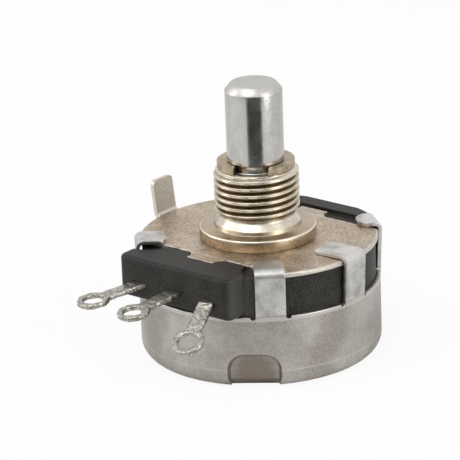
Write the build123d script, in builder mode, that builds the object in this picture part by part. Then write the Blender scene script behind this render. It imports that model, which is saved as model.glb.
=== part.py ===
"""Panel-mount rotary potentiometer with a moulded carbon element.

Units are millimetres. The origin is on the shaft axis at the mounting face, which is
the top of the bushing flange. +Z points out along the shaft, the solder terminals
point towards -Y and the locating lug stands at -X. Directions round the shaft are
given in degrees from -Y, positive towards +X.
"""

from build123d import *
from math import atan2, cos, degrees, radians, sin, sqrt, tan
import os

os.makedirs("parts", exist_ok=True)

# ---------------------------------------------------------------- driving dimensions
# fits and working clearances
running_clearance = 0.04
seat_gap = 0.05
hidden_clearance = 0.30

# shaft
shaft_radius = 3.175
shaft_reach = 16.25
shaft_tip_height = 0.80
shaft_tip_width = 0.66
neck_radius = 2.40
tang_radius = 2.30
tang_half_flat = 1.75
stake_height = 0.60
stake_overhang = 0.45

# threaded bushing
thread_radius = 4.76
thread_relief_radius = 4.20
thread_relief_height = 0.35
bushing_height = 6.65
bushing_tip_chamfer = 0.42
bushing_shoulder_radius = 4.85
bushing_shoulder_height = 0.45
bushing_cone_height = 0.75
flange_radius = 6.50
flange_thickness = 1.35
flange_edge_chamfer = 0.12
spigot_radius = 4.60

# retaining ring
ring_radius = 4.30
ring_thickness = 0.70
ring_opening_width = 3.90
ring_opening_angle = 31.0

# face plate
plate_radius = 13.25
plate_thickness = 0.50
plate_edge_round = 0.18
plate_flank_reach = 8.60
plate_tongue_reach = 10.10
plate_tongue_half_width = 1.80
plate_tongue_root = 2.60

# locating lug, bent up from the edge of the face plate
lug_width = 3.175
lug_top = 2.60
lug_lean = 6.5
lug_bend_radius = 0.35
lug_corner_radius = 0.55

# cover
cover_radius = 13.45
cover_wall = 0.45
cover_rim = -6.20
cover_base = -14.55
cover_corner_radius = 1.70
rim_relief_radius = 0.30
tab_width = 3.30
tab_root_depth = 0.60
tab_bend_radius = 0.62
tab_lift = 0.12
tab_angles = (-45.5, 44.5, 90.0, 141.5)
tab_tips = (10.35, 10.05, 9.20, 11.20)
tab_tip_rounds = (0.80, 1.20, 0.20, 1.45)

# stop dimple pressed into the cover wall
dimple_angle = 36.0
dimple_half_width = 2.60
dimple_top = -11.00
dimple_depth = 1.20
dimple_slope = 25.0
dimple_corner_radius = 1.50
dimple_foot_ease = 0.90

# moulded body
body_clearance = 0.05
body_floor = -8.60
block_half_width = 7.90
block_shift = -0.90
block_reach = 13.60
block_top = -1.42
block_corner_radius = 0.90
block_edge_round = 0.45
block_foot_round = 0.60
rear_block_radius = 13.75
rear_groove_width = 1.10
tab_recess_radius = 2.90
plate_pocket_gap = 0.10

# terminals
terminal_width = 1.80
terminal_thickness = 0.60
terminal_level = -4.40
terminal_shift = -1.00
terminal_spacing = 4.90
eye_radius = 1.80
eye_hole_radius = 1.12
eye_distance = 5.80
left_fan = -17.5
center_fan = -6.0
right_fan = 16.0
slight_droop = 5.5
right_droop = 27.0

# resistance element and collector
track_inner_radius = 7.60
track_outer_radius = 10.60
track_thickness = 0.80
track_half_opening = 20.0
track_pad_angle = 26.0
collector_inner_radius = 5.20
collector_outer_radius = 6.60

# rotor
rotor_range = 312.0
washer_thickness = 0.45
carrier_gap = 1.40
carrier_radius = 11.20
carrier_thickness = 1.30
stop_thickness = 0.80
stop_running_gap = 0.45
stop_hub_radius = 5.00
outer_brush_radius = 1.00
inner_brush_radius = 0.55
spring_thickness = 0.20
spring_width = 2.20
spring_rise = 0.45
rivet_radius = 0.50
rivet_head_radius = 0.85

# ---------------------------------------------------------------- derived levels
plate_top = -flange_thickness
plate_bottom = plate_top - plate_thickness
cover_bore = cover_radius - cover_wall
body_radius = cover_bore - body_clearance
bore_radius = shaft_radius + running_clearance
washer_top = body_floor - seat_gap
hub_top = washer_top - washer_thickness
carrier_top = body_floor - carrier_gap
carrier_bottom = carrier_top - carrier_thickness
stop_bottom = carrier_bottom - stop_thickness
stop_radius = cover_bore - stop_running_gap
track_top = body_floor + track_thickness
track_mid_radius = (track_inner_radius + track_outer_radius) / 2
collector_mid_radius = (collector_inner_radius + collector_outer_radius) / 2
block_bottom = cover_rim + seat_gap
brush_top = body_floor - seat_gap
ring_bottom = bushing_height + seat_gap
ring_top = ring_bottom + ring_thickness
neck_top = ring_top + seat_gap


def heading(angle):
    """Polar angle of a direction given in degrees from -Y towards +X."""
    return angle - 90


def radial_plane(angle):
    """Upright plane through the axis: local X runs outwards and local Y runs up."""
    turn = radians(heading(angle))
    return Plane(origin=(0, 0, 0), x_dir=(cos(turn), sin(turn), 0), z_dir=(sin(turn), -cos(turn), 0))


def facing_plane(angle, distance):
    """Upright plane seen from outside: local X runs across and local Y runs up."""
    turn = radians(heading(angle))
    outward = Vector(cos(turn), sin(turn), 0)
    return Plane(origin=outward * distance, x_dir=(-sin(turn), cos(turn), 0), z_dir=outward)


def spot(radius, angle):
    """Plan position at a radius and a direction."""
    turn = radians(heading(angle))
    return (radius * cos(turn), radius * sin(turn))


# ---------------------------------------------------------------- shaft
with BuildPart() as shaft:
    with BuildSketch(Plane.XY.offset(hub_top)):
        Circle(shaft_radius)
    extrude(amount=shaft_reach - hub_top)
    tip_edge = shaft.edges().sort_by(Axis.Z)[-1]
    chamfer(tip_edge, shaft_tip_height, shaft_tip_width)
    with BuildSketch(Plane.XY.offset(ring_bottom - seat_gap)):
        Circle(shaft_radius)
        Circle(neck_radius, mode=Mode.SUBTRACT)
    extrude(amount=neck_top - ring_bottom + seat_gap, mode=Mode.SUBTRACT)
    with BuildSketch(Plane.XY.offset(stop_bottom)):
        Circle(tang_radius)
        Rectangle(2 * tang_radius, 2 * tang_half_flat, mode=Mode.INTERSECT)
    extrude(amount=hub_top - stop_bottom)
    with BuildSketch(Plane.XY.offset(stop_bottom)):
        Circle(tang_radius + stake_overhang)
    extrude(amount=-stake_height, taper=30)
shaft.part.label = "shaft"
export_step(shaft.part, "parts/shaft.step")

# ---------------------------------------------------------------- bushing
cone_top = bushing_shoulder_height + bushing_cone_height
relief_top = cone_top + thread_relief_height
thread_start = relief_top + thread_radius - thread_relief_radius

with BuildPart() as bushing:
    with BuildSketch(Plane.XZ):
        with BuildLine():
            Polyline(
                (bore_radius, body_floor),
                (spigot_radius, body_floor),
                (spigot_radius, plate_top),
                (flange_radius, plate_top),
                (flange_radius, -flange_edge_chamfer),
                (flange_radius - flange_edge_chamfer, 0),
                (bushing_shoulder_radius, 0),
                (bushing_shoulder_radius, bushing_shoulder_height),
                (thread_relief_radius, cone_top),
                (thread_relief_radius, relief_top),
                (thread_radius, thread_start),
                (thread_radius, bushing_height - bushing_tip_chamfer),
                (thread_radius - bushing_tip_chamfer, bushing_height),
                (bore_radius, bushing_height),
                close=True,
            )
        make_face()
    revolve(axis=Axis.Z)
bushing.part.label = "bushing"
export_step(bushing.part, "parts/bushing.step")

# ---------------------------------------------------------------- retaining ring
with BuildPart() as retaining_ring:
    with BuildSketch(Plane.XY.offset(ring_bottom)):
        Circle(ring_radius)
        Circle(neck_radius, mode=Mode.SUBTRACT)
        with Locations(Location((0, 0), heading(ring_opening_angle))):
            Rectangle(
                2 * ring_radius,
                ring_opening_width,
                align=(Align.MIN, Align.CENTER),
                mode=Mode.SUBTRACT,
            )
    extrude(amount=ring_thickness)
retaining_ring.part.label = "retaining_ring"
export_step(retaining_ring.part, "parts/retaining_ring.step")


# ---------------------------------------------------------------- face plate
def plate_outline(margin=0):
    """Face plate outline in the current sketch, grown by a margin."""
    flank = plate_flank_reach + margin
    tongue = plate_tongue_reach + margin
    Circle(plate_radius + margin)
    Rectangle(2 * (plate_radius + margin), 2 * flank, mode=Mode.INTERSECT)
    for side in (-1, 1):
        Polygon(
            (-plate_tongue_root - margin, side * flank),
            (-plate_tongue_half_width - margin, side * (flank + plate_tongue_root - plate_tongue_half_width)),
            (-plate_tongue_half_width - margin, side * tongue),
            (plate_tongue_half_width + margin, side * tongue),
            (plate_tongue_half_width + margin, side * (flank + plate_tongue_root - plate_tongue_half_width)),
            (plate_tongue_root + margin, side * flank),
            align=None,
        )


lug_root = plate_radius + lug_bend_radius
lug_rise = lug_top - plate_bottom

with BuildPart() as face_plate:
    with BuildSketch(Plane.XY.offset(plate_bottom)):
        plate_outline()
        Circle(spigot_radius, mode=Mode.SUBTRACT)
    extrude(amount=plate_thickness)
    top_edges = face_plate.faces().sort_by(Axis.Z)[-1].outer_wire().edges()
    fillet(top_edges.filter_by(GeomType.CIRCLE), plate_edge_round)
    with BuildSketch(Plane.XZ):
        with BuildLine() as lug_path:
            FilletPolyline(
                (-plate_radius + lug_width / 2, plate_bottom + plate_thickness / 2),
                (-lug_root, plate_bottom + plate_thickness / 2),
                (-lug_root - lug_rise * sin(radians(lug_lean)), lug_top),
                radius=lug_bend_radius + plate_thickness / 2,
            )
        trace(lug_path.line, plate_thickness)
    extrude(amount=lug_width / 2, both=True)
    lug_end = face_plate.faces().sort_by(Axis.Z)[-1]
    fillet(lug_end.edges().sort_by(SortBy.LENGTH)[:2], lug_corner_radius)
face_plate.part.label = "face_plate"
export_step(face_plate.part, "parts/face_plate.step")

# ---------------------------------------------------------------- cover
tab_distance = plate_radius + seat_gap + cover_wall / 2
tab_level = plate_top + tab_lift + cover_wall / 2
tab_foot = cover_rim - tab_root_depth
relief_offset = tab_width / 2 + rim_relief_radius
dimple_foot = cover_radius - dimple_depth

with BuildPart() as cover:
    with BuildSketch(Plane.XY.offset(cover_base)):
        Circle(cover_radius)
    extrude(amount=cover_rim - cover_base)
    fillet(cover.edges().sort_by(Axis.Z)[0], cover_corner_radius)
    # the dimple breaks out through the bottom corner
    with BuildSketch(facing_plane(dimple_angle, cover_radius - dimple_depth)):
        with Locations((0, cover_base)):
            RectangleRounded(2 * dimple_half_width, 2 * (dimple_top - cover_base), dimple_corner_radius)
    extrude(amount=2 * dimple_depth, taper=-dimple_slope, mode=Mode.SUBTRACT)
    # its foot is eased back to the base
    with BuildSketch(radial_plane(dimple_angle)):
        Polygon(
            (dimple_foot - dimple_foot_ease, cover_base),
            (dimple_foot, cover_base + dimple_foot_ease),
            (dimple_foot + dimple_foot_ease, cover_base),
            align=None,
        )
    extrude(amount=dimple_half_width, both=True, mode=Mode.SUBTRACT)
    offset(amount=-cover_wall, openings=cover.faces().sort_by(Axis.Z)[-1])
    for angle in tab_angles:
        with BuildSketch(facing_plane(angle, cover_bore / 2)):
            with Locations((-relief_offset, cover_rim), (relief_offset, cover_rim)):
                Circle(rim_relief_radius)
        extrude(amount=cover_radius, mode=Mode.SUBTRACT)
    # tabs folded over the face plate
    for angle, tip in zip(tab_angles, tab_tips):
        with BuildSketch(radial_plane(angle)):
            with BuildLine() as tab_path:
                FilletPolyline(
                    (cover_bore + cover_wall / 2, tab_foot),
                    (tab_distance, tab_level),
                    (tip, tab_level - tab_lift + seat_gap / 2),
                    radius=tab_bend_radius,
                )
            trace(tab_path.line, cover_wall)
        extrude(amount=tab_width / 2, both=True)
    for angle, tip, tip_round in zip(tab_angles, tab_tips, tab_tip_rounds):
        tip_face = cover.faces().sort_by_distance(Vector(*spot(tip, angle), tab_level))[0]
        fillet(tip_face.edges().sort_by(SortBy.LENGTH)[:2], tip_round)
cover.part.label = "cover"
export_step(cover.part, "parts/cover.step")

# ---------------------------------------------------------------- resistance element and collector
with BuildPart() as resistance_track:
    with BuildSketch(Plane.XY.offset(body_floor)):
        Circle(track_outer_radius)
        Circle(track_inner_radius, mode=Mode.SUBTRACT)
        Polygon(
            (0, 0),
            spot(2 * track_outer_radius, -track_half_opening),
            spot(2 * track_outer_radius, track_half_opening),
            align=None,
            mode=Mode.SUBTRACT,
        )
    extrude(amount=track_thickness)
resistance_track.part.label = "resistance_track"
export_step(resistance_track.part, "parts/resistance_track.step")

with BuildPart() as collector_ring:
    with BuildSketch(Plane.XY.offset(body_floor)):
        Circle(collector_outer_radius)
        Circle(collector_inner_radius, mode=Mode.SUBTRACT)
    extrude(amount=track_thickness)
collector_ring.part.label = "collector_ring"
export_step(collector_ring.part, "parts/collector_ring.step")


# ---------------------------------------------------------------- terminals
def solder_lug(exit_x, fan, droop, pad):
    """Lug with an eye outside, a strip through the block and a leg down to its pad."""
    mouth = Vector(exit_x, -block_reach, terminal_level)
    level = Vector(sin(radians(fan)), -cos(radians(fan)), 0)
    upward = Vector(0, 0, 1)
    along = level * cos(radians(droop)) - upward * sin(radians(droop))
    across = level * sin(radians(droop)) + upward * cos(radians(droop))
    with BuildPart() as lug:
        with BuildSketch(Plane(origin=mouth, x_dir=along, z_dir=across)):
            Rectangle(eye_distance, terminal_width, align=(Align.MIN, Align.CENTER))
            with Locations((eye_distance, 0)):
                Circle(eye_radius)
                Circle(eye_hole_radius, mode=Mode.SUBTRACT)
        extrude(amount=terminal_thickness / 2, both=True)
        with BuildSketch(Plane.XY.offset(terminal_level)):
            with BuildLine() as buried_path:
                Polyline((exit_x, -block_reach), pad)
            trace(buried_path.line, terminal_width)
            with Locations((exit_x, -block_reach), pad):
                Circle(terminal_width / 2)
        extrude(amount=terminal_thickness / 2, both=True)
        with BuildSketch(Plane.XY.offset(track_top)):
            with Locations(pad):
                Circle(terminal_thickness)
        extrude(amount=terminal_level - track_top)
    return lug.part


left_pad = spot(track_mid_radius, -track_pad_angle)
center_pad = spot(collector_mid_radius, 0)
right_pad = spot(track_mid_radius, track_pad_angle)

terminal_left = solder_lug(terminal_shift - terminal_spacing, left_fan, slight_droop, left_pad)
terminal_left.label = "terminal_left"
export_step(terminal_left, "parts/terminal_left.step")

terminal_center = solder_lug(terminal_shift, center_fan, slight_droop, center_pad)
terminal_center.label = "terminal_center"
export_step(terminal_center, "parts/terminal_center.step")

terminal_right = solder_lug(terminal_shift + terminal_spacing, right_fan, right_droop, right_pad)
terminal_right.label = "terminal_right"
export_step(terminal_right, "parts/terminal_right.step")

# ---------------------------------------------------------------- moulded body
with BuildPart() as moulded_body:
    # terminal block and the block opposite it
    with BuildSketch(Plane.XY.offset(block_bottom)):
        with Locations((block_shift, 0)):
            RectangleRounded(2 * block_half_width, 2 * block_reach, block_corner_radius)
    extrude(amount=block_top - block_bottom)
    fillet(moulded_body.faces().sort_by(Axis.Z)[-1].edges(), block_edge_round)
    fillet(moulded_body.faces().sort_by(Axis.Z)[0].edges(), block_foot_round)
    # the rear block is turned down to a circle
    with BuildSketch(Plane.XY.offset(block_bottom)):
        Rectangle(4 * rear_block_radius, 2 * rear_block_radius, align=(Align.CENTER, Align.MIN))
        Circle(rear_block_radius, mode=Mode.SUBTRACT)
    extrude(amount=block_top - block_bottom, mode=Mode.SUBTRACT)
    with BuildSketch(Plane.XY.offset(body_floor)):
        Circle(body_radius)
    extrude(amount=plate_bottom - body_floor)
    # pocket for the face plate, a groove behind it and a recess round each tab tip
    with BuildSketch(Plane.XY.offset(plate_bottom)):
        plate_outline(plate_pocket_gap)
        with Locations((block_shift, plate_flank_reach)):
            Rectangle(
                4 * block_half_width,
                plate_tongue_reach - plate_flank_reach + rear_groove_width,
                align=(Align.CENTER, Align.MIN),
            )
    extrude(amount=block_top - plate_bottom, mode=Mode.SUBTRACT)
    with BuildSketch(Plane.XY.offset(plate_bottom)):
        for angle, tip in zip(tab_angles, tab_tips):
            with Locations(spot((tip + cover_radius) / 2, angle)):
                Circle(tab_recess_radius)
    extrude(amount=block_top - plate_bottom, mode=Mode.SUBTRACT)
    # channels that let the cover tabs pass
    for angle in tab_angles:
        with BuildSketch(radial_plane(angle)):
            with Locations((cover_bore - body_clearance / 2, block_bottom)):
                Rectangle(block_reach, block_top - block_bottom, align=Align.MIN)
        extrude(amount=tab_width / 2 + hidden_clearance, both=True, mode=Mode.SUBTRACT)
    with BuildSketch(Plane.XY.offset(body_floor)):
        Circle(spigot_radius)
    extrude(amount=plate_bottom - body_floor, mode=Mode.SUBTRACT)
    add(resistance_track.part, mode=Mode.SUBTRACT)
    add(collector_ring.part, mode=Mode.SUBTRACT)
    add([terminal_left, terminal_center, terminal_right], mode=Mode.SUBTRACT)
moulded_body.part.label = "moulded_body"
export_step(moulded_body.part, "parts/moulded_body.step")

# ---------------------------------------------------------------- rotor
brush_angle = 180.0
spring_low = carrier_top + spring_thickness / 2
spring_high = spring_low + spring_rise
brush_foot = spring_high + spring_thickness / 2

with BuildPart() as thrust_washer:
    with BuildSketch(Plane.XY.offset(hub_top)):
        Circle(spigot_radius)
        Circle(bore_radius, mode=Mode.SUBTRACT)
    extrude(amount=washer_thickness)
thrust_washer.part.label = "thrust_washer"
export_step(thrust_washer.part, "parts/thrust_washer.step")

with BuildPart() as rotor_carrier:
    with BuildSketch(Plane.XY.offset(carrier_bottom)):
        Circle(carrier_radius)
    extrude(amount=carrier_thickness)
    with BuildSketch(Plane.XY.offset(carrier_top)):
        Circle(spigot_radius)
    extrude(amount=hub_top - carrier_top)
    with BuildSketch(Plane.XY.offset(carrier_bottom)):
        Circle(tang_radius)
        Rectangle(2 * tang_radius, 2 * tang_half_flat, mode=Mode.INTERSECT)
    extrude(amount=hub_top - carrier_bottom, mode=Mode.SUBTRACT)
    with BuildSketch(Plane.XY.offset(carrier_bottom)):
        with Locations(spot(track_inner_radius, brush_angle)):
            Circle(rivet_radius)
    extrude(amount=carrier_thickness, mode=Mode.SUBTRACT)
rotor_carrier.part.label = "rotor_carrier"
export_step(rotor_carrier.part, "parts/rotor_carrier.step")

with BuildPart() as contact_spring:
    with BuildSketch(radial_plane(brush_angle)):
        with BuildLine() as leaf:
            FilletPolyline(
                (collector_mid_radius - inner_brush_radius, spring_high),
                (collector_mid_radius + inner_brush_radius, spring_high),
                (track_inner_radius - rivet_head_radius, spring_low),
                (track_inner_radius + rivet_head_radius, spring_low),
                (track_mid_radius - outer_brush_radius + rivet_radius, spring_high),
                (track_mid_radius + outer_brush_radius, spring_high),
                radius=spring_thickness,
            )
        trace(leaf.line, spring_thickness)
    extrude(amount=spring_width / 2, both=True)
    with BuildSketch(Plane.XY.offset(carrier_top)):
        with Locations(spot(track_inner_radius, brush_angle)):
            Circle(rivet_radius)
    extrude(amount=spring_thickness, mode=Mode.SUBTRACT)
contact_spring.part.label = "contact_spring"
export_step(contact_spring.part, "parts/contact_spring.step")

with BuildPart() as spring_rivet:
    with BuildSketch(Plane.XY.offset(carrier_bottom)):
        with Locations(spot(track_inner_radius, brush_angle)):
            Circle(rivet_radius)
    extrude(amount=carrier_thickness + spring_thickness)
    for head_bottom in (carrier_top + spring_thickness, carrier_bottom - spring_thickness):
        with BuildSketch(Plane.XY.offset(head_bottom)):
            with Locations(spot(track_inner_radius, brush_angle)):
                Circle(rivet_head_radius)
        extrude(amount=spring_thickness)
spring_rivet.part.label = "spring_rivet"
export_step(spring_rivet.part, "parts/spring_rivet.step")

with BuildPart() as outer_brush:
    with BuildSketch(Plane.XY.offset(brush_foot)):
        with Locations(spot(track_mid_radius, brush_angle)):
            Circle(outer_brush_radius)
    extrude(amount=brush_top - brush_foot)
outer_brush.part.label = "outer_brush"
export_step(outer_brush.part, "parts/outer_brush.step")

with BuildPart() as inner_brush:
    with BuildSketch(Plane.XY.offset(brush_foot)):
        with Locations(spot(collector_mid_radius, brush_angle)):
            Circle(inner_brush_radius)
    extrude(amount=brush_top - brush_foot)
inner_brush.part.label = "inner_brush"
export_step(inner_brush.part, "parts/inner_brush.step")

# ---------------------------------------------------------------- stop plate
# the arm stands opposite the dimple at rest, in the middle of the travel
dimple_nose = cover_bore - dimple_depth
nose_half_width = dimple_half_width + cover_wall * tan(radians(45 - dimple_slope / 2))
stop_meeting = sqrt(stop_radius**2 - nose_half_width**2)
meeting_half_width = nose_half_width + (stop_meeting - dimple_nose) * tan(radians(dimple_slope))
dimple_half_angle = degrees(atan2(meeting_half_width, stop_meeting))
end_gap_angle = degrees(seat_gap / stop_radius)
arm_half_angle = (360 - rotor_range) / 2 - dimple_half_angle - end_gap_angle
arm_angle = dimple_angle + 180

with BuildPart() as stop_plate:
    with BuildSketch(Plane.XY.offset(stop_bottom)):
        Polygon(
            (0, 0),
            spot(2 * stop_radius, arm_angle - arm_half_angle),
            spot(2 * stop_radius, arm_angle + arm_half_angle),
            align=None,
        )
        Circle(stop_radius, mode=Mode.INTERSECT)
        Circle(stop_hub_radius)
        with BuildSketch(mode=Mode.PRIVATE) as tang_hole:
            Circle(tang_radius)
            Rectangle(2 * tang_radius, 2 * tang_half_flat, mode=Mode.INTERSECT)
        add(tang_hole.sketch, mode=Mode.SUBTRACT)
    extrude(amount=stop_thickness)
stop_plate.part.label = "stop_plate"
export_step(stop_plate.part, "parts/stop_plate.step")
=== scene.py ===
"""Looks of a panel-mount rotary potentiometer.

Metres, with the origin on the shaft axis at the mounting face. +Z points out along the
shaft, the solder terminals point towards -Y and the locating lug stands at -X.
"""

import bpy
from math import cos, pi, radians, sin
from mathutils import Matrix, Vector, noise


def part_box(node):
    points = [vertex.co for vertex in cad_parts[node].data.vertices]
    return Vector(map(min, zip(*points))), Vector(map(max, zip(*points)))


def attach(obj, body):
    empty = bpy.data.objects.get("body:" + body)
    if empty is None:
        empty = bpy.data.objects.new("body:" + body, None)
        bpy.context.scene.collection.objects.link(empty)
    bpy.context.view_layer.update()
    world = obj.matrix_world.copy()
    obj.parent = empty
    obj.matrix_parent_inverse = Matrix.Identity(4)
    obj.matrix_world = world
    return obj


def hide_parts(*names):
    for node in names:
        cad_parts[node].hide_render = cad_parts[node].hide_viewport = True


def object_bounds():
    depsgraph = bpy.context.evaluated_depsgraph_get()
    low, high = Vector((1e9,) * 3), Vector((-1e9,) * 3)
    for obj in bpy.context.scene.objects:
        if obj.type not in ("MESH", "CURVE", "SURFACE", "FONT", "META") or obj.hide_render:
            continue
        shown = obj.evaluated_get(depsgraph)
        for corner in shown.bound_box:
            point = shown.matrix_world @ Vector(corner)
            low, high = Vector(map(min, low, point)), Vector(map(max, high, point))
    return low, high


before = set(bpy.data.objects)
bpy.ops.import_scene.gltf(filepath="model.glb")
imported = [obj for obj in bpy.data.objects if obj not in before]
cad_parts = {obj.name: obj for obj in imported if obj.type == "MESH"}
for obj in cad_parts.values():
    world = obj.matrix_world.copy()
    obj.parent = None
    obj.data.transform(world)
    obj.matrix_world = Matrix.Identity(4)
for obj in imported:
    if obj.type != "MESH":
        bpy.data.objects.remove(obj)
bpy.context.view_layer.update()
MM = 0.001


def srgb(red, green, blue):
    """A colour written as it looks on paper, 0 to 255, turned linear."""
    linear = []
    for value in (red, green, blue):
        value /= 255
        linear.append(value / 12.92 if value <= 0.04045 else ((value + 0.055) / 1.055) ** 2.4)
    return (*linear, 1.0)


# ---------------------------------------------------------------- shared effects
def new_group(name, inputs, outputs):
    """An empty shader group with its named sockets, and its two end nodes."""
    tree = bpy.data.node_groups.new(name, "ShaderNodeTree")
    for socket_name, kind, default in inputs:
        socket = tree.interface.new_socket(socket_name, in_out="INPUT", socket_type=kind)
        if default is not None:
            socket.default_value = default
    for socket_name, kind in outputs:
        tree.interface.new_socket(socket_name, in_out="OUTPUT", socket_type=kind)
    entry = tree.nodes.new("NodeGroupInput")
    result = tree.nodes.new("NodeGroupOutput")
    return tree, entry, result


def put(tree, kind, links=(), **settings):
    """A node with its properties set, its plain values filled in and its inputs linked."""
    node = tree.nodes.new(kind)
    for key, value in settings.items():
        setattr(node, key, value)
    for socket, source in dict(links).items():
        if hasattr(source, "is_output"):
            tree.links.new(source, node.inputs[socket])
        else:
            node.inputs[socket].default_value = source
    return node


def maths(tree, operation, first, second=0.0, clamp=False):
    """One arithmetic step on numbers that change over the surface."""
    return put(tree, "ShaderNodeMath", {0: first, 1: second}, operation=operation, use_clamp=clamp).outputs[0]


def ramp_between(tree, value, low, high):
    """A smooth 0 to 1 step of a value between two levels."""
    node = put(tree, "ShaderNodeMapRange", {"Value": value, "From Min": low, "From Max": high})
    node.interpolation_type = "SMOOTHSTEP"
    return node.outputs["Result"]


def make_axis_position():
    """Place on a turned part: arc length round the axis, distance from it, and height."""
    tree, entry, result = new_group(
        "axis_position",
        [("Position", "NodeSocketVector", None), ("Wrap Radius", "NodeSocketFloat", 0.010)],
        [("Unrolled", "NodeSocketVector"), ("Radius", "NodeSocketFloat"), ("Height", "NodeSocketFloat")],
    )
    parts = put(tree, "ShaderNodeSeparateXYZ", {0: entry.outputs["Position"]})
    turn = maths(tree, "ARCTAN2", parts.outputs["Y"], parts.outputs["X"])
    arc = maths(tree, "MULTIPLY", turn, entry.outputs["Wrap Radius"])
    across = maths(tree, "MULTIPLY", parts.outputs["X"], parts.outputs["X"])
    along = maths(tree, "MULTIPLY", parts.outputs["Y"], parts.outputs["Y"])
    radius = maths(tree, "SQRT", maths(tree, "ADD", across, along))
    joined = put(tree, "ShaderNodeCombineXYZ", {"X": arc, "Y": radius, "Z": parts.outputs["Z"]})
    tree.links.new(joined.outputs[0], result.inputs["Unrolled"])
    tree.links.new(radius, result.inputs["Radius"])
    tree.links.new(parts.outputs["Z"], result.inputs["Height"])
    return tree


def make_brushing():
    """Fine drawn lines: noise squeezed along one direction."""
    tree, entry, result = new_group(
        "brushing",
        [
            ("Position", "NodeSocketVector", None),
            ("Squeeze", "NodeSocketVector", (1.0, 1.0, 1.0)),
            ("Scale", "NodeSocketFloat", 3000.0),
            ("Contrast", "NodeSocketFloat", 1.0),
        ],
        [("Lines", "NodeSocketFloat"), ("Shade", "NodeSocketFloat")],
    )
    squeezed = put(
        tree,
        "ShaderNodeVectorMath",
        {0: entry.outputs["Position"], 1: entry.outputs["Squeeze"]},
        operation="MULTIPLY",
    )
    lines = put(
        tree,
        "ShaderNodeTexNoise",
        {"Vector": squeezed.outputs[0], "Scale": entry.outputs["Scale"], "Detail": 5.0, "Roughness": 0.62},
    )
    centred = maths(tree, "SUBTRACT", lines.outputs["Fac"], 0.5)
    strong = maths(tree, "MULTIPLY", centred, entry.outputs["Contrast"])
    shade = maths(tree, "ADD", strong, 0.5, clamp=True)
    tree.links.new(lines.outputs["Fac"], result.inputs["Lines"])
    tree.links.new(shade, result.inputs["Shade"])
    return tree


def make_mottle():
    """Two tones in soft patches with finer speckle inside them."""
    tree, entry, result = new_group(
        "mottle",
        [
            ("Position", "NodeSocketVector", None),
            ("Patch Scale", "NodeSocketFloat", 500.0),
            ("Speckle Scale", "NodeSocketFloat", 5000.0),
            ("Speckle", "NodeSocketFloat", 0.4),
            ("First Tone", "NodeSocketColor", (0.5, 0.5, 0.5, 1.0)),
            ("Second Tone", "NodeSocketColor", (0.5, 0.5, 0.5, 1.0)),
        ],
        [("Colour", "NodeSocketColor"), ("Mask", "NodeSocketFloat")],
    )
    patches = put(
        tree,
        "ShaderNodeTexNoise",
        {
            "Vector": entry.outputs["Position"],
            "Scale": entry.outputs["Patch Scale"],
            "Detail": 4.0,
            "Roughness": 0.6,
        },
    )
    speckles = put(
        tree,
        "ShaderNodeTexNoise",
        {"Vector": entry.outputs["Position"], "Scale": entry.outputs["Speckle Scale"], "Detail": 2.0},
    )
    wide = ramp_between(tree, patches.outputs["Fac"], 0.34, 0.66)
    fine = ramp_between(tree, speckles.outputs["Fac"], 0.30, 0.70)
    spread = put(
        tree,
        "ShaderNodeMix",
        {"Factor": entry.outputs["Speckle"], "A": wide, "B": fine},
        data_type="FLOAT",
    )
    tones = tree.nodes.new("ShaderNodeMix")
    tones.data_type = "RGBA"
    tree.links.new(spread.outputs[0], tones.inputs[0])
    tree.links.new(entry.outputs["First Tone"], tones.inputs[6])
    tree.links.new(entry.outputs["Second Tone"], tones.inputs[7])
    tree.links.new(tones.outputs[2], result.inputs["Colour"])
    tree.links.new(spread.outputs[0], result.inputs["Mask"])
    return tree


def make_pitting():
    """Small dark pits and grains, as a mask and as a height."""
    tree, entry, result = new_group(
        "pitting",
        [
            ("Position", "NodeSocketVector", None),
            ("Scale", "NodeSocketFloat", 4000.0),
            ("Coverage", "NodeSocketFloat", 0.5),
        ],
        [("Pits", "NodeSocketFloat"), ("Height", "NodeSocketFloat")],
    )
    cells = put(
        tree,
        "ShaderNodeTexVoronoi",
        {"Vector": entry.outputs["Position"], "Scale": entry.outputs["Scale"]},
        feature="SMOOTH_F1",
    )
    grain = put(
        tree,
        "ShaderNodeTexNoise",
        {"Vector": entry.outputs["Position"], "Scale": entry.outputs["Scale"], "Detail": 3.0},
    )
    mixed = maths(tree, "MULTIPLY", cells.outputs["Distance"], grain.outputs["Fac"])
    edge = maths(tree, "MULTIPLY", entry.outputs["Coverage"], 0.6)
    pits = put(
        tree,
        "ShaderNodeMapRange",
        {
            "Value": mixed,
            "From Min": maths(tree, "MULTIPLY", edge, 0.4),
            "From Max": edge,
            "To Min": 1.0,
            "To Max": 0.0,
        },
    )
    tree.links.new(pits.outputs[0], result.inputs["Pits"])
    tree.links.new(mixed, result.inputs["Height"])
    return tree


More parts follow.
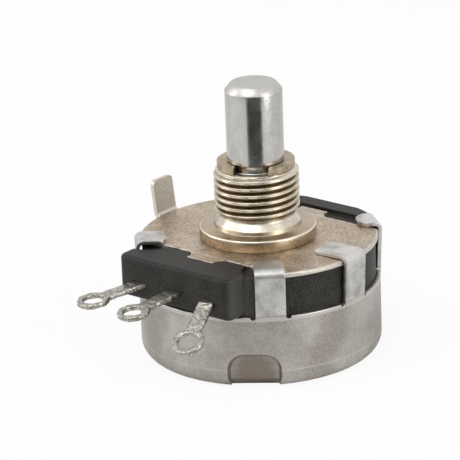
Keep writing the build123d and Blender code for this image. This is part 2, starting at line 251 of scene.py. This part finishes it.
def make_local_patch():
    """A soft-edged patch round a point, 1 at its middle."""
    tree, entry, result = new_group(
        "local_patch",
        [
            ("Position", "NodeSocketVector", None),
            ("Middle", "NodeSocketVector", (0.0, 0.0, 0.0)),
            ("Stretch", "NodeSocketVector", (1.0, 1.0, 1.0)),
            ("Reach", "NodeSocketFloat", 0.002),
            ("Raggedness", "NodeSocketFloat", 0.5),
        ],
        [("Patch", "NodeSocketFloat")],
    )
    away = put(
        tree,
        "ShaderNodeVectorMath",
        {0: entry.outputs["Position"], 1: entry.outputs["Middle"]},
        operation="SUBTRACT",
    )
    stretched = put(
        tree,
        "ShaderNodeVectorMath",
        {0: away.outputs[0], 1: entry.outputs["Stretch"]},
        operation="MULTIPLY",
    )
    distance = put(tree, "ShaderNodeVectorMath", {0: stretched.outputs[0]}, operation="LENGTH")
    share = maths(tree, "DIVIDE", distance.outputs["Value"], entry.outputs["Reach"])
    rough = put(
        tree,
        "ShaderNodeTexNoise",
        {"Vector": entry.outputs["Position"], "Scale": 3500.0, "Detail": 3.0},
    )
    centred = maths(tree, "SUBTRACT", rough.outputs["Fac"], 0.5)
    shake = maths(tree, "MULTIPLY", centred, entry.outputs["Raggedness"])
    moved = maths(tree, "ADD", share, maths(tree, "MULTIPLY", shake, 4.0))
    fade = put(
        tree,
        "ShaderNodeMapRange",
        {"Value": moved, "From Min": 0.45, "From Max": 1.0, "To Min": 1.0, "To Max": 0.0},
    )
    tree.links.new(fade.outputs[0], result.inputs["Patch"])
    return tree


axis_position = make_axis_position()
brushing = make_brushing()
mottle = make_mottle()
pitting = make_pitting()
local_patch = make_local_patch()


# ---------------------------------------------------------------- materials
class Finish:
    """A material under construction: its shader, its place input and a few short calls."""

    def __init__(self, name, **plain):
        self.material = bpy.data.materials.new(name)
        self.material.use_nodes = True
        self.tree = self.material.node_tree
        self.shader = self.tree.nodes["Principled BSDF"]
        self.position = self.tree.nodes.new("ShaderNodeTexCoord").outputs["Object"]
        for socket, value in plain.items():
            self.shader.inputs[socket.replace("_", " ")].default_value = value

    def effect(self, group, **values):
        node = self.tree.nodes.new("ShaderNodeGroup")
        node.node_tree = group
        if "Position" not in values:
            values["Position"] = self.position
        for socket, value in values.items():
            socket = socket.replace("_", " ")
            if hasattr(value, "is_output"):
                self.tree.links.new(value, node.inputs[socket])
            else:
                node.inputs[socket].default_value = value
        return node.outputs

    def blend(self, factor, first, second):
        node = self.tree.nodes.new("ShaderNodeMix")
        node.data_type = "RGBA"
        for socket, value in ((0, factor), (6, first), (7, second)):
            if hasattr(value, "is_output"):
                self.tree.links.new(value, node.inputs[socket])
            else:
                node.inputs[socket].default_value = value
        return node.outputs[2]

    def step(self, value, low, high):
        return ramp_between(self.tree, value, low, high)

    def maths(self, operation, first, second=0.0, clamp=False):
        return maths(self.tree, operation, first, second, clamp)

    def between(self, value, low, high):
        node = put(self.tree, "ShaderNodeMapRange", {"Value": value, "To Min": low, "To Max": high})
        return node.outputs["Result"]

    def colour(self, source):
        self.tree.links.new(source, self.shader.inputs["Base Color"])

    def roughness(self, source):
        self.tree.links.new(source, self.shader.inputs["Roughness"])

    def bump(self, height, depth, strength=1.0, soft_edge=0.0):
        node = put(self.tree, "ShaderNodeBump", {"Height": height, "Distance": depth, "Strength": strength})
        if soft_edge:
            softened = put(self.tree, "ShaderNodeBevel", {"Radius": soft_edge}, samples=6)
            self.tree.links.new(softened.outputs["Normal"], node.inputs["Normal"])
        self.tree.links.new(node.outputs["Normal"], self.shader.inputs["Normal"])


def turned_shaft_steel():
    """Satin ground steel with turning lines round it and a dull speckle."""
    finish = Finish("turned_shaft_steel", Metallic=1.0)
    place = finish.effect(axis_position, Wrap_Radius=0.003175)
    lines = finish.effect(
        brushing,
        Position=place["Unrolled"],
        Squeeze=(0.06, 1.0, 1.0),
        Scale=9000.0,
        Contrast=1.3,
    )
    speckle = finish.effect(
        mottle,
        Position=place["Unrolled"],
        Patch_Scale=700.0,
        Speckle_Scale=4200.0,
        Speckle=0.55,
        First_Tone=srgb(176, 174, 170),
        Second_Tone=srgb(204, 203, 200),
    )
    streak = finish.effect(
        brushing,
        Position=place["Unrolled"],
        Squeeze=(1.0, 1.0, 0.10),
        Scale=2600.0,
        Contrast=2.0,
    )
    tone = finish.blend(finish.between(lines["Shade"], 0.0, 0.35), speckle["Colour"], srgb(190, 187, 180))
    finish.colour(finish.blend(finish.between(streak["Shade"], 0.0, 0.25), tone, srgb(166, 161, 151)))
    faced_end = finish.maths("MULTIPLY", finish.step(place["Height"], 0.01530, 0.01545), 0.20)
    finish.roughness(finish.maths("ADD", finish.between(speckle["Mask"], 0.13, 0.24), faced_end))
    pits = finish.effect(pitting, Position=place["Unrolled"], Scale=5200.0, Coverage=0.5)
    height = finish.maths("ADD", lines["Lines"], finish.maths("MULTIPLY", pits["Height"], 0.5))
    finish.bump(height, 0.000010, 0.45)
    return finish.material


def plated_bushing():
    """Nickel-plated brass, with a painted highlight on the thread crests, painted brown-gold shade down in
    the grooves and a painted highlight along the flange's top edge.
    """
    finish = Finish("plated_bushing", Metallic=1.0)
    place = finish.effect(axis_position, Wrap_Radius=0.00476)
    patina = finish.effect(
        mottle,
        Patch_Scale=420.0,
        Speckle_Scale=5200.0,
        Speckle=0.45,
        First_Tone=srgb(156, 139, 115),
        Second_Tone=srgb(194, 179, 156),
    )
    bright = finish.effect(
        mottle,
        Patch_Scale=900.0,
        Speckle_Scale=6000.0,
        Speckle=0.5,
        First_Tone=srgb(184, 175, 158),
        Second_Tone=srgb(222, 215, 202),
    )
    # Painted shade: the thread darkens down its flanks to brown-gold at the groove root.
    up_flank = finish.step(place["Radius"], 0.00428, 0.00452)
    groove_painted_shade = finish.blend(up_flank, srgb(98, 80, 56), srgb(176, 158, 130))
    # Painted highlight: the thread crests take the bright tone.
    crest_painted_highlight = finish.blend(finish.step(place["Radius"], 0.00456, 0.00468), groove_painted_shade, bright["Colour"])
    in_thread = finish.maths(
        "MULTIPLY",
        finish.step(place["Height"], 0.00150, 0.00175),
        finish.maths("SUBTRACT", 1.0, finish.step(place["Height"], 0.00612, 0.00624)),
    )
    above_cone = finish.step(place["Height"], 0.00040, 0.00056)
    neck_tone = finish.blend(above_cone, patina["Colour"], bright["Colour"])
    body_tone = finish.blend(in_thread, neck_tone, crest_painted_highlight)
    # Painted highlight: a bright line along the rounded top edge of the flange.
    flange_edge_painted_highlight = finish.maths(
        "MULTIPLY",
        finish.step(place["Radius"], 0.00632, 0.00640),
        finish.step(place["Height"], -0.00022, -0.00012),
    )
    finish.colour(finish.blend(flange_edge_painted_highlight, body_tone, srgb(226, 216, 196)))
    worn = finish.effect(pitting, Scale=5200.0, Coverage=0.42)
    finish.roughness(finish.between(patina["Mask"], 0.24, 0.42))
    lines = finish.effect(
        brushing,
        Position=place["Unrolled"],
        Squeeze=(0.05, 1.0, 1.0),
        Scale=8000.0,
        Contrast=1.0,
    )
    height = finish.maths("ADD", lines["Lines"], finish.maths("MULTIPLY", worn["Height"], 0.6))
    finish.bump(height, 0.000016, 0.55)
    return finish.material


def pressed_plate_metal():
    """Plated plate with a pinkish-brown bloom, scuffs and bright staking marks, with painted highlights along
    its rim and cut edges and a painted lighter tone on the upright lug.
    """
    finish = Finish("pressed_plate_metal", Metallic=1.0)
    bloom = finish.effect(
        mottle,
        Patch_Scale=620.0,
        Speckle_Scale=3000.0,
        Speckle=0.68,
        First_Tone=srgb(126, 104, 82),
        Second_Tone=srgb(222, 208, 190),
    )
    soft_wear = finish.effect(
        mottle,
        Patch_Scale=170.0,
        Speckle_Scale=900.0,
        Speckle=0.25,
        First_Tone=srgb(162, 140, 118),
        Second_Tone=srgb(198, 188, 172),
    )
    tone = finish.blend(0.35, bloom["Colour"], soft_wear["Colour"])
    for middle, stretch, reach in (
        ((0.0052, -0.0079, -0.00135), (1.0, 1.6, 1.0), 0.0011),
        ((0.0074, -0.0066, -0.00135), (1.0, 1.5, 1.0), 0.0009),
    ):
        mark = finish.effect(local_patch, Middle=middle, Stretch=stretch, Reach=reach, Raggedness=0.6)
        tone = finish.blend(finish.maths("MULTIPLY", mark["Patch"], 0.75), tone, srgb(222, 216, 204))
    place = finish.effect(axis_position, Wrap_Radius=0.013)
    # Painted highlight: a bright band along the plate's rounded rim.
    rim_painted_highlight = finish.step(place["Radius"], 0.01298, 0.01312)
    tone = finish.blend(rim_painted_highlight, tone, srgb(206, 200, 188))
    sides = put(finish.tree, "ShaderNodeSeparateXYZ", {0: finish.position})
    aside = finish.maths("ABSOLUTE", sides.outputs["Y"])
    # Painted highlight: a thin ragged bright line along the flat chord edges of the plate, kept clear of the
    # rim.
    past_flank = finish.maths("SUBTRACT", 1.0, finish.step(aside, 0.00858, 0.00872))
    chord_edge_band = finish.maths("MULTIPLY", finish.step(aside, 0.00836, 0.00850), past_flank)
    chord_edge_painted_highlight = finish.maths("MULTIPLY", chord_edge_band, bloom["Mask"])
    near_flank = finish.maths("SUBTRACT", 1.0, finish.step(place["Radius"], 0.0118, 0.0124))
    tone = finish.blend(finish.maths("MULTIPLY", chord_edge_painted_highlight, near_flank), tone, srgb(228, 224, 216))
    # Painted light: the upright lug is painted lighter than the plate it is bent from.
    lug_painted_lighter = finish.step(place["Radius"], 0.01345, 0.01375)
    tone = finish.blend(finish.maths("MULTIPLY", lug_painted_lighter, 0.8), tone, srgb(208, 200, 190))
    finish.colour(tone)
    finish.roughness(finish.between(bloom["Mask"], 0.34, 0.52))
    pits = finish.effect(pitting, Scale=3600.0, Coverage=0.5)
    height = finish.maths("ADD", finish.maths("MULTIPLY", pits["Height"], 1.0), bloom["Mask"])
    finish.bump(height, 0.000030, 0.6, soft_edge=0.00014)
    return finish.material


def brushed_cover_steel():
    """Satin drawn steel: fine upright lines on the wall, painted highlight lines at the rim and the foot, and
    painted shade in the dimple.
    """
    finish = Finish("brushed_cover_steel", Metallic=1.0)
    place = finish.effect(axis_position, Wrap_Radius=0.01345)
    lines = finish.effect(
        brushing,
        Position=place["Unrolled"],
        Squeeze=(1.0, 1.0, 0.035),
        Scale=5200.0,
        Contrast=1.5,
    )
    satin = finish.effect(
        mottle,
        Patch_Scale=130.0,
        Speckle_Scale=3600.0,
        Speckle=0.30,
        First_Tone=srgb(146, 140, 132),
        Second_Tone=srgb(204, 200, 194),
    )
    tone = finish.blend(finish.between(lines["Shade"], 0.0, 0.55), satin["Colour"], srgb(154, 149, 141))
    # Painted highlight: a bright line round the top rim of the can.
    rim_painted_highlight = finish.maths(
        "MULTIPLY",
        finish.step(place["Height"], -0.00668, -0.00662),
        finish.maths("SUBTRACT", 1.0, finish.step(place["Height"], -0.00622, -0.00612)),
    )
    tone = finish.blend(finish.maths("MULTIPLY", rim_painted_highlight, 0.6), tone, srgb(206, 203, 198))
    # Painted highlight: a faint bright line round the can where its bottom corner begins to round.
    foot_painted_highlight = finish.maths(
        "MULTIPLY",
        finish.step(place["Height"], -0.01252, -0.01244),
        finish.maths("SUBTRACT", 1.0, finish.step(place["Height"], -0.01240, -0.01230)),
    )
    tone = finish.blend(finish.maths("MULTIPLY", foot_painted_highlight, 0.35), tone, srgb(214, 211, 206))
    tabs = finish.step(place["Height"], -0.00610, -0.00590)
    tab_tone = finish.effect(
        mottle,
        Patch_Scale=420.0,
        Speckle_Scale=4600.0,
        Speckle=0.28,
        First_Tone=srgb(158, 157, 154),
        Second_Tone=srgb(214, 212, 209),
    )
    tone = finish.blend(tabs, tone, tab_tone["Colour"])
    dimple = finish.effect(
        local_patch,
        Middle=(0.0070, -0.0097, -0.0130),
        Stretch=(1.0, 1.0, 0.9),
        Reach=0.0036,
        Raggedness=0.12,
    )
    # Painted shade: the dimple's hollow is darkened to a brown-grey.
    dimple_painted_shade = finish.maths(
        "MULTIPLY",
        dimple["Patch"],
        finish.maths("SUBTRACT", 1.0, finish.step(place["Radius"], 0.01300, 0.01330)),
    )
    tone = finish.blend(finish.maths("MULTIPLY", dimple_painted_shade, 0.8), tone, srgb(124, 112, 100))
    finish.colour(tone)
    finish.roughness(finish.between(satin["Mask"], 0.32, 0.46))
    grain = finish.effect(pitting, Scale=4200.0, Coverage=0.4)
    height = finish.maths("ADD", lines["Lines"], finish.maths("MULTIPLY", grain["Height"], 0.5))
    finish.bump(height, 0.000014, 0.5, soft_edge=0.00024)
    return finish.material


def black_moulding():
    """Black phenolic moulding, fine-grained and a little dusty."""
    finish = Finish("black_moulding", Metallic=0.0, Specular_IOR_Level=0.24)
    dust = finish.effect(
        mottle,
        Patch_Scale=480.0,
        Speckle_Scale=4400.0,
        Speckle=0.68,
        First_Tone=srgb(12, 12, 11),
        Second_Tone=srgb(54, 52, 48),
    )
    ends = put(finish.tree, "ShaderNodeSeparateXYZ", {0: finish.position})
    # Painted highlight: the chamfer facet at the block's right front end is painted lighter.
    facet = finish.step(ends.outputs["X"], 0.00640, 0.00700)
    near_front = finish.maths("SUBTRACT", 1.0, finish.step(ends.outputs["Y"], -0.0108, -0.0098))
    facet_painted_highlight = finish.maths("MULTIPLY", facet, near_front)
    finish.colour(finish.blend(finish.maths("MULTIPLY", facet_painted_highlight, 0.35), dust["Colour"], srgb(92, 90, 86)))
    finish.roughness(finish.between(dust["Mask"], 0.42, 0.62))
    grain = finish.effect(pitting, Scale=4600.0, Coverage=0.5)
    finish.bump(grain["Height"], 0.000040, 0.7, soft_edge=0.00022)
    return finish.material


def solder_tinned():
    """Solder-dipped lug: dull grey with brighter ridges and dark flux pits."""
    finish = Finish("solder_tinned", Metallic=1.0)
    skin = finish.effect(
        mottle,
        Patch_Scale=1100.0,
        Speckle_Scale=4200.0,
        Speckle=0.68,
        First_Tone=srgb(140, 137, 127),
        Second_Tone=srgb(216, 214, 206),
    )
    flux = finish.effect(pitting, Scale=2900.0, Coverage=0.55)
    stained = finish.maths("MULTIPLY", flux["Pits"], 0.45)
    finish.colour(finish.blend(stained, skin["Colour"], srgb(104, 98, 84)))
    finish.roughness(finish.between(skin["Mask"], 0.50, 0.28))
    finish.bump(flux["Height"], 0.00006, 0.7)
    return finish.material


def retaining_bronze():
    """Brownish spring bronze with fine edge-to-edge grain."""
    finish = Finish("retaining_bronze", Metallic=1.0)
    tone = finish.effect(
        mottle,
        Patch_Scale=900.0,
        Speckle_Scale=5200.0,
        Speckle=0.45,
        First_Tone=srgb(138, 120, 96),
        Second_Tone=srgb(196, 180, 156),
    )
    grain = finish.effect(brushing, Squeeze=(1.0, 0.12, 1.0), Scale=5200.0, Contrast=1.0)
    finish.colour(tone["Colour"])
    finish.roughness(finish.between(tone["Mask"], 0.30, 0.46))
    finish.bump(grain["Lines"], 0.000012, 0.5)
    return finish.material


def carbon_film(name, first, second, scale):
    """Printed carbon: matt, with fine pressed speckle."""
    finish = Finish(name, Metallic=0.0, Specular_IOR_Level=0.3)
    tone = finish.effect(
        mottle, Patch_Scale=scale, Speckle_Scale=scale * 8, Speckle=0.5, First_Tone=first, Second_Tone=second
    )
    pits = finish.effect(pitting, Scale=scale * 7, Coverage=0.45)
    finish.colour(tone["Colour"])
    finish.roughness(finish.between(tone["Mask"], 0.55, 0.75))
    finish.bump(pits["Height"], 0.000012, 0.4)
    return finish.material


def board_material(name, first, second):
    """Pressed paper laminate or fibre: layered strands under a dull skin."""
    finish = Finish(name, Metallic=0.0, Specular_IOR_Level=0.35)
    tone = finish.effect(
        mottle, Patch_Scale=520.0, Speckle_Scale=4200.0, Speckle=0.5, First_Tone=first, Second_Tone=second
    )
    strands = finish.effect(brushing, Squeeze=(0.25, 1.0, 3.0), Scale=2600.0, Contrast=1.4)
    finish.colour(finish.blend(finish.between(strands["Shade"], 0.0, 0.5), tone["Colour"], second))
    finish.roughness(finish.between(tone["Mask"], 0.50, 0.70))
    finish.bump(strands["Lines"], 0.000020, 0.5)
    return finish.material


def sheet_metal(name, first, second, squeeze):
    """Rolled strip metal with its rolling lines."""
    finish = Finish(name, Metallic=1.0)
    tone = finish.effect(
        mottle, Patch_Scale=600.0, Speckle_Scale=5200.0, Speckle=0.4, First_Tone=first, Second_Tone=second
    )
    rolled = finish.effect(brushing, Squeeze=squeeze, Scale=5200.0, Contrast=1.2)
    finish.colour(finish.blend(finish.between(rolled["Shade"], 0.0, 0.4), tone["Colour"], first))
    finish.roughness(finish.between(tone["Mask"], 0.26, 0.42))
    finish.bump(rolled["Lines"], 0.000010, 0.5)
    return finish.material


shaft_steel = turned_shaft_steel()
bushing_brass = plated_bushing()
plate_metal = pressed_plate_metal()
cover_steel = brushed_cover_steel()
moulding = black_moulding()
tinned = solder_tinned()
ring_bronze = retaining_bronze()
track_carbon = carbon_film("track_carbon", srgb(28, 28, 30), srgb(46, 46, 48), 620.0)
brush_carbon = carbon_film("brush_carbon", srgb(40, 40, 42), srgb(66, 66, 68), 900.0)
carrier_board = board_material("carrier_board", srgb(110, 72, 40), srgb(146, 100, 60))
washer_fibre = board_material("washer_fibre", srgb(120, 58, 40), srgb(150, 82, 58))
spring_bronze = sheet_metal("spring_bronze", srgb(176, 134, 78), srgb(206, 168, 112), (0.08, 1.0, 1.0))
rivet_brass = sheet_metal("rivet_brass", srgb(190, 160, 92), srgb(218, 194, 134), (1.0, 1.0, 0.2))
stop_steel = sheet_metal("stop_steel", srgb(146, 146, 146), srgb(180, 180, 180), (1.0, 0.06, 1.0))

NODE_FINISH = {
    "retaining_ring": ring_bronze,
    "face_plate": plate_metal,
    "cover": cover_steel,
    "moulded_body": moulding,
    "resistance_track": track_carbon,
    "collector_ring": brush_carbon,
    "rotor_carrier": carrier_board,
    "contact_spring": spring_bronze,
    "spring_rivet": rivet_brass,
    "outer_brush": brush_carbon,
    "inner_brush": brush_carbon,
    "stop_plate": stop_steel,
    "thrust_washer": washer_fibre,
}

for node_name, material in NODE_FINISH.items():
    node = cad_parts[node_name]
    if node.material_slots:
        for entry in node.material_slots:
            entry.material = material
    else:
        node.data.materials.append(material)


# ---------------------------------------------------------------- threaded bushing
def piece_from(name, points, faces, material, crease):
    """A named object from its own mesh, smooth but for edges sharper than the crease."""
    mesh = bpy.data.meshes.new(name)
    mesh.from_pydata(points, [], faces)
    mesh.validate()
    mesh.materials.append(material)
    mesh.shade_smooth()
    mesh.set_sharp_from_angle(angle=radians(crease))
    piece = bpy.data.objects.new(name, mesh)
    bpy.context.scene.collection.objects.link(piece)
    return piece


def smooth_share(value):
    """0 to 1 with soft ends."""
    value = min(max(value, 0.0), 1.0)
    return value * value * (3 - 2 * value)


THREAD_PITCH = 25.4 / 32
THREAD_CREST = 4.72
THREAD_ROOT = 4.27
GROOVE_HEIGHT = 1.70
GROOVE_HEADING = radians(-50)
THREAD_FOOT = 1.55
THREAD_TOP = 6.65
TIP_CHAMFER = 0.42


def thread_radius(height, turn):
    """Radius of the threaded part at a height and a direction."""
    lead = (height - GROOVE_HEIGHT) / THREAD_PITCH - (turn - GROOVE_HEADING) / (2 * pi)
    off_groove = abs((lead + 0.5) % 1.0 - 0.5) * 2
    radius = THREAD_ROOT + (THREAD_CREST - THREAD_ROOT) * smooth_share((off_groove - 0.06) / 0.66)
    radius -= 0.035 * smooth_share((off_groove - 0.88) / 0.10)
    run_out = 4.20 + (height - THREAD_FOOT)
    tip = THREAD_CREST - max(0.0, height - (THREAD_TOP - TIP_CHAMFER))
    return min(radius, run_out, tip)


def make_threaded_bushing():
    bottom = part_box("bushing")[0][2] / MM
    bore = 3.215
    below = [
        (bore, bottom), (4.60, bottom), (4.60, -1.35), (6.44, -1.35), (6.50, -1.29), (6.50, -0.16),
        (6.465, -0.075), (6.40, -0.02), (6.32, 0.0), (4.90, 0.0), (4.85, 0.05), (4.85, 0.41),
        (4.80, 0.49), (4.26, 1.13), (4.20, 1.21),
    ]
    above = [(bore + 0.10, THREAD_TOP), (bore, THREAD_TOP - 0.10)]
    rows = 112
    heights = [THREAD_FOOT + (THREAD_TOP - THREAD_FOOT) * step / rows for step in range(rows + 1)]
    segments = 180
    points = []
    for step in range(segments):
        turn = 2 * pi * step / segments
        ring = list(below) + [(thread_radius(height, turn), height) for height in heights] + above
        for radius, height in ring:
            points.append((radius * cos(turn) * MM, radius * sin(turn) * MM, height * MM))
    count = len(below) + rows + 1 + len(above)
    faces = []
    for step in range(segments):
        after = (step + 1) % segments
        for row in range(count):
            beyond = (row + 1) % count
            near, far = step * count, after * count
            faces.append((near + row, far + row, far + beyond, near + beyond))
    piece = piece_from("threaded_bushing", points, faces, bushing_brass, 50)
    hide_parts("bushing")
    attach(piece, "housing")
    return piece


make_threaded_bushing()


# ---------------------------------------------------------------- turned shaft
def make_turned_shaft():
    """The shaft from its staked tail, past the flatted tang and the ring neck, to its tip."""
    low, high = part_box("shaft")
    tail = low[2] / MM
    tip = high[2] / MM
    full = high[0] / MM
    neck = 2.40
    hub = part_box("rotor_carrier")[1][2] / MM
    tang_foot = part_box("stop_plate")[0][2] / MM
    ring_low, ring_high = (corner[2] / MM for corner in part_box("retaining_ring"))
    tang = 2.30
    half_flat = 1.75
    rings = [
        (2.40, tail, full), (2.75, tang_foot, full), (tang, tang_foot, half_flat), (tang, hub, half_flat),
        (full - 0.05, hub, full), (full, hub + 0.05, full), (full, ring_low - 0.10, full),
        (full - 0.05, ring_low - 0.05, full), (neck, ring_low - 0.05, full), (neck, ring_high + 0.05, full),
        (full - 0.06, ring_high + 0.05, full), (full, ring_high + 0.11, full), (full, tip - 0.86, full),
        (full - 0.02, tip - 0.78, full), (full - 0.60, tip - 0.07, full), (full - 0.70, tip, full),
        (full - 1.10, tip, full), (full - 2.00, tip, full),
    ]
    segments = 160
    points = []
    for radius, height, flat in rings:
        for step in range(segments):
            turn = 2 * pi * step / segments
            across = min(max(radius * sin(turn), -flat), flat)
            points.append((radius * cos(turn) * MM, across * MM, height * MM))
    faces = []
    for row in range(len(rings) - 1):
        for step in range(segments):
            after = (step + 1) % segments
            base, above = row * segments, (row + 1) * segments
            faces.append((base + step, base + after, above + after, above + step))
    faces.append(tuple(range(segments - 1, -1, -1)))
    faces.append(tuple((len(rings) - 1) * segments + step for step in range(segments)))
    piece = piece_from("turned_shaft", points, faces, shaft_steel, 28)
    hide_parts("shaft")
    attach(piece, "rotor")


make_turned_shaft()


# ---------------------------------------------------------------- solder-coated terminals
def solder_coated(node_name, seed):
    """The lug remeshed finely with its edges eased, and small lumps on the part of it in front of the
    moulding.
    """
    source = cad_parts[node_name]
    work = source.copy()
    work.data = source.data.copy()
    work.parent = None
    bpy.context.scene.collection.objects.link(work)
    work.matrix_world = Matrix.Identity(4)
    remesh = work.modifiers.new("even_mesh", "REMESH")
    remesh.mode = "VOXEL"
    remesh.voxel_size = 0.00014
    remesh.use_smooth_shade = True
    ease = work.modifiers.new("ease_edges", "SMOOTH")
    ease.factor = 0.5
    ease.iterations = 3
    graph = bpy.context.evaluated_depsgraph_get()
    mesh = bpy.data.meshes.new_from_object(work.evaluated_get(graph))
    bpy.data.objects.remove(work)
    mesh.name = node_name + "_soldered"
    offset = Vector((seed * 7.3, seed * 3.1, seed * 5.7))
    front = -13.55 * MM
    for vertex in mesh.vertices:
        if vertex.co.y > front:
            continue
        coarse = noise.noise(vertex.co * 1500 + offset)
        fine = noise.noise(vertex.co * 4200 + offset)
        lift = (0.05 * coarse + 0.025 * fine - 0.02) * MM
        vertex.co += vertex.normal * lift
    mesh.materials.clear()
    mesh.materials.append(tinned)
    mesh.shade_smooth()
    piece = bpy.data.objects.new(node_name + "_soldered", mesh)
    bpy.context.scene.collection.objects.link(piece)
    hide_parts(node_name)
    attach(piece, "housing")
    return piece


for seed, terminal in enumerate(("terminal_left", "terminal_center", "terminal_right")):
    solder_coated(terminal, seed + 1)


# ---------------------------------------------------------------- floor, light and camera
DIM_SIDE = (sin(radians(40)), -cos(radians(40)), 0.0)
DIM_ACROSS = (cos(radians(40)), sin(radians(40)), 0.0)


def make_floor():
    """A plain pale floor, with a dim stretch ahead that only polished metal mirrors."""
    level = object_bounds()[0][2]
    mesh = bpy.data.meshes.new("floor")
    reach = 1.6
    mesh.from_pydata(
        [(-reach, -reach, level), (reach, -reach, level), (reach, reach, level), (-reach, reach, level)],
        [],
        [(0, 1, 2, 3)],
    )
    material = bpy.data.materials.new("pale_floor")
    material.use_nodes = True
    tree = material.node_tree
    shader = tree.nodes["Principled BSDF"]
    shader.inputs["Base Color"].default_value = (0.93, 0.93, 0.93, 1.0)
    shader.inputs["Roughness"].default_value = 0.9
    shader.inputs["Specular IOR Level"].default_value = 0.1
    paper = put(tree, "ShaderNodeEmission", {"Color": (1.0, 1.0, 1.0, 1.0), "Strength": 1.0})
    rays = tree.nodes.new("ShaderNodeLightPath")
    place = tree.nodes.new("ShaderNodeTexCoord").outputs["Object"]
    forward = put(tree, "ShaderNodeVectorMath", {0: place, 1: DIM_SIDE}, operation="DOT_PRODUCT")
    sideways = put(tree, "ShaderNodeVectorMath", {0: place, 1: DIM_ACROSS}, operation="DOT_PRODUCT")
    ahead = forward.outputs["Value"]
    aside = sideways.outputs["Value"]
    slant = maths(tree, "DIVIDE", maths(tree, "ABSOLUTE", aside), maths(tree, "MAXIMUM", ahead, 0.001))
    wedge = maths(tree, "SUBTRACT", 1.0, ramp_between(tree, slant, 0.50, 0.62))
    distant = ramp_between(tree, ahead, 0.045, 0.060)
    dimmed = maths(tree, "MULTIPLY", wedge, distant)
    mirrored = maths(tree, "MULTIPLY", maths(tree, "MULTIPLY", rays.outputs["Is Glossy Ray"], dimmed), 0.97)
    card = put(tree, "ShaderNodeEmission", {"Color": (0.045, 0.047, 0.05, 1.0), "Strength": 1.0})
    card_mix = tree.nodes.new("ShaderNodeMixShader")
    tree.links.new(mirrored, card_mix.inputs[0])
    tree.links.new(shader.outputs[0], card_mix.inputs[1])
    tree.links.new(card.outputs[0], card_mix.inputs[2])
    seen = maths(tree, "MULTIPLY", rays.outputs["Is Camera Ray"], 0.90)
    mix = tree.nodes.new("ShaderNodeMixShader")
    tree.links.new(seen, mix.inputs[0])
    tree.links.new(card_mix.outputs[0], mix.inputs[1])
    tree.links.new(paper.outputs[0], mix.inputs[2])
    tree.links.new(mix.outputs[0], tree.nodes["Material Output"].inputs["Surface"])
    mesh.materials.append(material)
    floor = bpy.data.objects.new("floor", mesh)
    bpy.context.scene.collection.objects.link(floor)


def make_world():
    """Even light all round, dimmer on the side that metal mirrors, and a white background."""
    world = bpy.data.worlds.new("studio")
    bpy.context.scene.world = world
    world.use_nodes = True
    tree = world.node_tree
    background = tree.nodes["Background"]
    rays = tree.nodes.new("ShaderNodeLightPath")
    sky = put(tree, "ShaderNodeBackground", {"Color": (1.0, 1.0, 1.0, 1.0), "Strength": 1.0})
    background.inputs["Color"].default_value = (1.0, 1.0, 1.0, 1.0)
    background.inputs["Strength"].default_value = 0.55
    heading = tree.nodes.new("ShaderNodeTexCoord").outputs["Generated"]
    facing = put(tree, "ShaderNodeVectorMath", {0: heading, 1: DIM_SIDE}, operation="DOT_PRODUCT")
    dimming = put(
        tree,
        "ShaderNodeMapRange",
        {"Value": facing.outputs["Value"], "From Min": 0.55, "From Max": 0.92, "To Min": 1.0, "To Max": 0.22},
    )
    mirrored = put(tree, "ShaderNodeBackground", {"Color": (1.0, 1.0, 1.0, 1.0)})
    tree.links.new(dimming.outputs[0], mirrored.inputs["Strength"])
    metal_mix = tree.nodes.new("ShaderNodeMixShader")
    tree.links.new(rays.outputs["Is Glossy Ray"], metal_mix.inputs[0])
    tree.links.new(background.outputs[0], metal_mix.inputs[1])
    tree.links.new(mirrored.outputs[0], metal_mix.inputs[2])
    mix = tree.nodes.new("ShaderNodeMixShader")
    tree.links.new(rays.outputs["Is Camera Ray"], mix.inputs[0])
    tree.links.new(metal_mix.outputs[0], mix.inputs[1])
    tree.links.new(sky.outputs[0], mix.inputs[2])
    tree.links.new(mix.outputs[0], tree.nodes["World Output"].inputs["Surface"])


def aim(position, target):
    """Rotation that looks from a position to a target."""
    return (Vector(target) - Vector(position)).to_track_quat("-Z", "Y").to_matrix().to_4x4()


def soft_lamp(name, position, target, size, power):
    lamp = bpy.data.lights.new(name, "AREA")
    lamp.shape = "RECTANGLE"
    lamp.size, lamp.size_y = size
    lamp.energy = power
    holder = bpy.data.objects.new(name, lamp)
    bpy.context.scene.collection.objects.link(holder)
    holder.matrix_world = Matrix.Translation(position) @ aim(position, target)


make_floor()
make_world()
soft_lamp("key_lamp", (0.06, -0.34, 0.46), (0, 0, 0), (0.46, 0.40), 1.3)
soft_lamp("right_lamp", (0.55, 0.02, 0.20), (0, 0, 0), (0.24, 0.45), 1.2)
soft_lamp("left_lamp", (-0.45, -0.30, 0.22), (0, 0, 0), (0.20, 0.45), 0.8)

camera_data = bpy.data.cameras.new("camera")
camera_data.sensor_width = 36
camera_data.lens = 247.3
camera_data.clip_start = 0.01
camera = bpy.data.objects.new("camera", camera_data)
bpy.context.scene.collection.objects.link(camera)
CAMERA_PLACE = Vector((212.2, -252.9, 116.0)) * MM
CAMERA_TARGET = Vector((-2.37, -2.03, -0.78)) * MM
CAMERA_ROLL = -2.17
camera_turn = aim(CAMERA_PLACE, CAMERA_TARGET) @ Matrix.Rotation(radians(CAMERA_ROLL), 4, "Z")
camera.matrix_world = Matrix.Translation(CAMERA_PLACE) @ camera_turn
bpy.context.scene.camera = camera
bpy.context.scene.view_settings.view_transform = "Standard"
